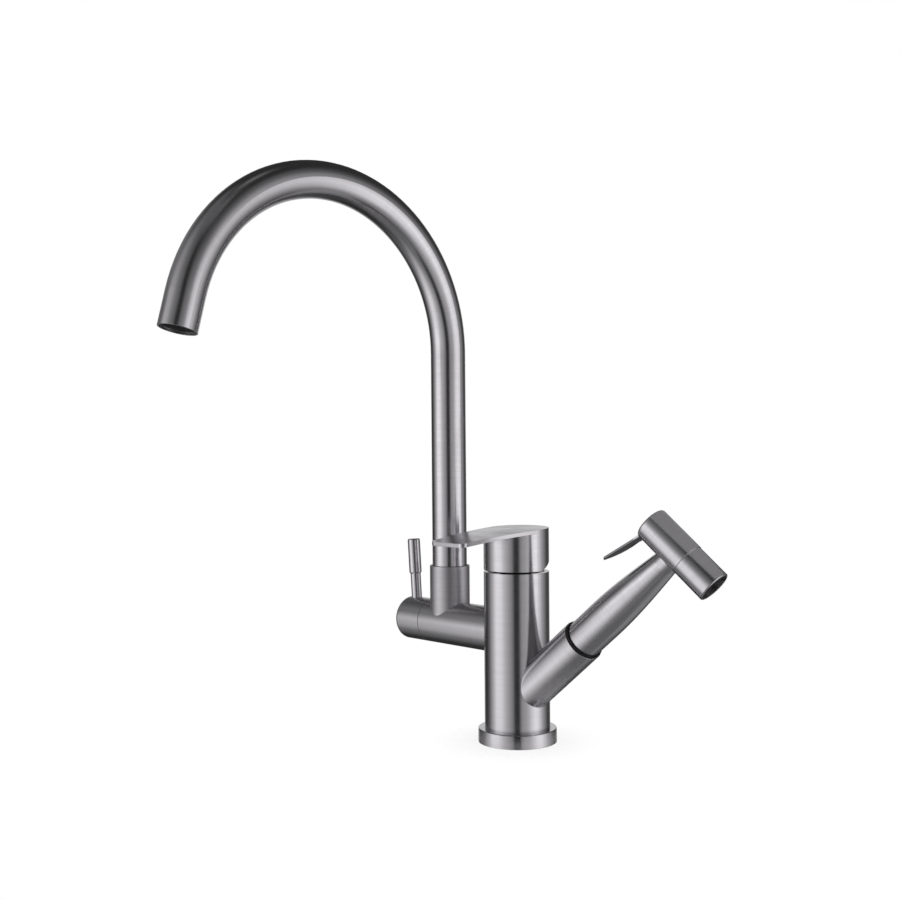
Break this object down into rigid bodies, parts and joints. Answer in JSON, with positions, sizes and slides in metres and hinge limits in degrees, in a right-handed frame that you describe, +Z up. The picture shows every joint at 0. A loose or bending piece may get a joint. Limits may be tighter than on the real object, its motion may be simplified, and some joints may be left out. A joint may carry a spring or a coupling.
{
  "type": "kitchen faucet",
  "caption": "Brushed steel kitchen faucet with a lever-topped column, a side-mounted swivelling gooseneck with its own valve, and a trigger hand spray docked at an angle.",
  "frame": {"origin": "centre of the base on the deck surface, where the clamping shank screws in", "axes": "+Z up along the column, -Y the way the spout and the lever point, -X along the side branch, +X the way the spray dock leans"},
  "size_m": [0.2778, 0.2627, 0.3926],
  "materials": {
    "stainless": "fine circumferential brush",
    "hardware_steel": "machined",
    "brass": "machined",
    "rubber": "moulded",
    "black_plastic": "moulded matte",
    "grey_plastic": "moulded matte",
    "white_plastic": "moulded",
    "ceramic": "lapped"
  },
  "bodies": {
    "body": {"base_flange": "stainless", "base_gasket": "rubber", "base_bush": "brass", "body_column": "stainless", "valve_block": "brass", "cartridge_housing": "white_plastic", "cartridge_seal": "rubber", "fixed_ceramic_disc": "ceramic", "cartridge_nut": "brass", "branch_tube": "stainless", "headwork_seal": "rubber", "headwork_body": "brass", "fixed_valve_disc": "ceramic", "spout_socket": "stainless", "slip_ring": "black_plastic", "spout_grub_screw": "hardware_steel", "dock_sleeve": "stainless", "dock_liner": "black_plastic"},
    "carrier": {"cartridge_carrier": "white_plastic", "carrier_pin": "hardware_steel"},
    "mixing_disc": {"moving_ceramic_disc": "ceramic"},
    "lever": {"lever_handle": "stainless", "cartridge_stem": "brass", "handle_grub_screw": "hardware_steel", "handle_plug": "grey_plastic"},
    "knob": {"valve_knob": "stainless", "valve_pin": "stainless", "knob_screw": "hardware_steel", "valve_spindle": "brass", "spindle_o_ring": "rubber", "moving_valve_disc": "ceramic"},
    "spout": {"spout_tube": "stainless", "spout_spigot": "brass", "spigot_o_rings": "rubber", "aerator_housing": "grey_plastic", "aerator_core": "grey_plastic", "aerator_seal": "rubber"},
    "hose_end": {"hose_connector": "brass"},
    "spray": {"spray_handle": "stainless", "hose_washer": "rubber", "hose_clip": "hardware_steel", "spray_head": "stainless", "trigger_pin": "hardware_steel", "valve_seat": "brass", "nozzle_o_ring": "rubber", "nozzle_collar": "stainless", "spray_plate": "grey_plastic", "plunger_guide": "black_plastic", "guide_o_ring": "rubber", "plunger_spring": "hardware_steel"},
    "trigger": {"trigger_lever": "stainless"},
    "plunger": {"plunger": "brass", "plunger_nut": "hardware_steel", "plunger_seal": "rubber"}
  },
  "joints": [
    {"name": "handle_swivel", "type": "hinge", "parent": "body", "child": "carrier", "pos_m": [0, 0, 0.119], "axis": [0, 0, 1], "range_deg": [-50, 50]},
    {"name": "handle_lift", "type": "hinge", "parent": "carrier", "child": "lever", "pos_m": [0, 0, 0.119], "axis": [-1, 0, 0], "range_deg": [0, 25]},
    {"name": "disc_slide", "type": "slide", "parent": "carrier", "child": "mixing_disc", "axis": [0, -1, 0], "range_m": [0, 0.0047]},
    {"name": "knob_turn", "type": "hinge", "parent": "body", "child": "knob", "pos_m": [-0.0981, 0, 0.0743], "axis": [1, 0, 0], "range_deg": [0, 90]},
    {"name": "spout_swivel", "type": "hinge", "parent": "body", "child": "spout", "pos_m": [-0.0669, 0, 0.107], "axis": [0, 0, 1], "continuous": true},
    {"name": "spray_pull", "type": "slide", "parent": "body", "child": "hose_end", "axis": [0.7705, 0, 0.6374], "range_m": [0, 0.06]},
    {"name": "spray_turn", "type": "hinge", "parent": "hose_end", "child": "spray", "pos_m": [0, 0, 0.0265], "axis": [0.7705, 0, 0.6374], "continuous": true},
    {"name": "trigger_squeeze", "type": "hinge", "parent": "spray", "child": "trigger", "pos_m": [0.11589, -0.00265, 0.14684], "axis": [0.0887, -0.9903, -0.1072], "range_deg": [0, 12], "stiffness_Nm_per_rad": 0.5, "springref_deg": -5.73},
    {"name": "plunger_slide", "type": "slide", "parent": "spray", "child": "plunger", "axis": [-0.737, -0.1377, 0.6617], "range_m": [0, 0.0019], "deforming": ["plunger_spring"]}
  ],
  "couplings": [
    {"joint": "disc_slide", "follows": "handle_lift", "m_per_rad": 0.010654},
    {"joint": "plunger_slide", "follows": "trigger_squeeze", "m_per_rad": 0.008803}
  ]
}
